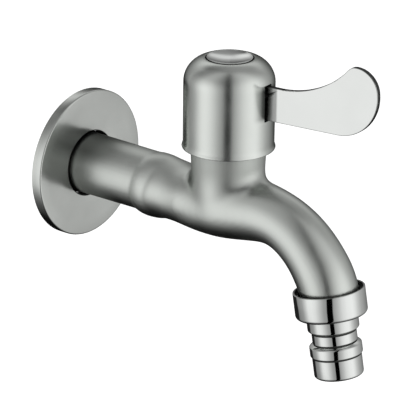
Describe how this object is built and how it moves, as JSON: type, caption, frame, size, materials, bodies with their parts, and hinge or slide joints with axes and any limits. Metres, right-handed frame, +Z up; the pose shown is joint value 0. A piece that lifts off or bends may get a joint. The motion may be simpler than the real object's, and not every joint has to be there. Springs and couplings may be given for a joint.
{
  "type": "bib tap",
  "caption": "Wall-mounted bib tap with a curved spout, a dome handle with a flat side lever, a round wall flange and a screw-on hose nozzle.",
  "frame": {"origin": "on the tail's axis, where the inlet thread ends at its shoulder, in the plane of the wall and of the wall flange's back rim", "axes": "+X out of the wall along the tail, +Z up along the headwork's axis, +Y to the left of someone who faces away from the wall"},
  "size_m": [0.1401, 0.0536, 0.1107],
  "materials": {
    "satin_steel": "satin",
    "polished_steel": "polished",
    "plain_steel": "plain",
    "brass": "machined",
    "zinc": "as cast",
    "rubber": "matte",
    "ceramic": "lapped",
    "washer_plastic": "matte"
  },
  "bodies": {
    "tap_body": {"body": "satin_steel", "headwork_housing": "brass", "housing_o_ring": "rubber", "thrust_washer": "washer_plastic", "fixed_disc": "ceramic", "seat_seal": "rubber"},
    "flange": {"wall_flange": "satin_steel"},
    "handle": {"handle_dome": "satin_steel", "handle_core": "zinc", "lever": "polished_steel", "lever_pin": "plain_steel", "index_cap": "polished_steel", "handle_screw": "plain_steel", "spindle": "brass", "retaining_clip": "plain_steel", "spindle_o_ring_lower": "rubber", "spindle_o_ring_upper": "rubber", "moving_disc": "ceramic"},
    "washer": {"nozzle_washer": "rubber"},
    "nozzle": {"hose_nozzle": "polished_steel"}
  },
  "joints": [
    {"name": "handle_turn", "type": "hinge", "parent": "tap_body", "child": "handle", "pos_m": [0.0675, 0, 0.03], "axis": [0, 0, 1], "range_deg": [0, 90]},
    {"name": "flange_slide", "type": "slide", "parent": "tap_body", "child": "flange", "axis": [1, 0, 0], "range_m": [0, 0.0265]},
    {"name": "nozzle_travel", "type": "slide", "parent": "tap_body", "child": "washer", "axis": [0.1805, 0, -0.9836], "range_m": [0, 0.0064]},
    {"name": "nozzle_turn", "type": "hinge", "parent": "washer", "child": "nozzle", "pos_m": [0.11207, 0, -0.01958], "axis": [0.1805, 0, -0.9836], "range_deg": [0, 1260]}
  ],
  "couplings": [
    {"joint": "nozzle_travel", "follows": "nozzle_turn", "m_per_rad": 0.00028871}
  ]
}
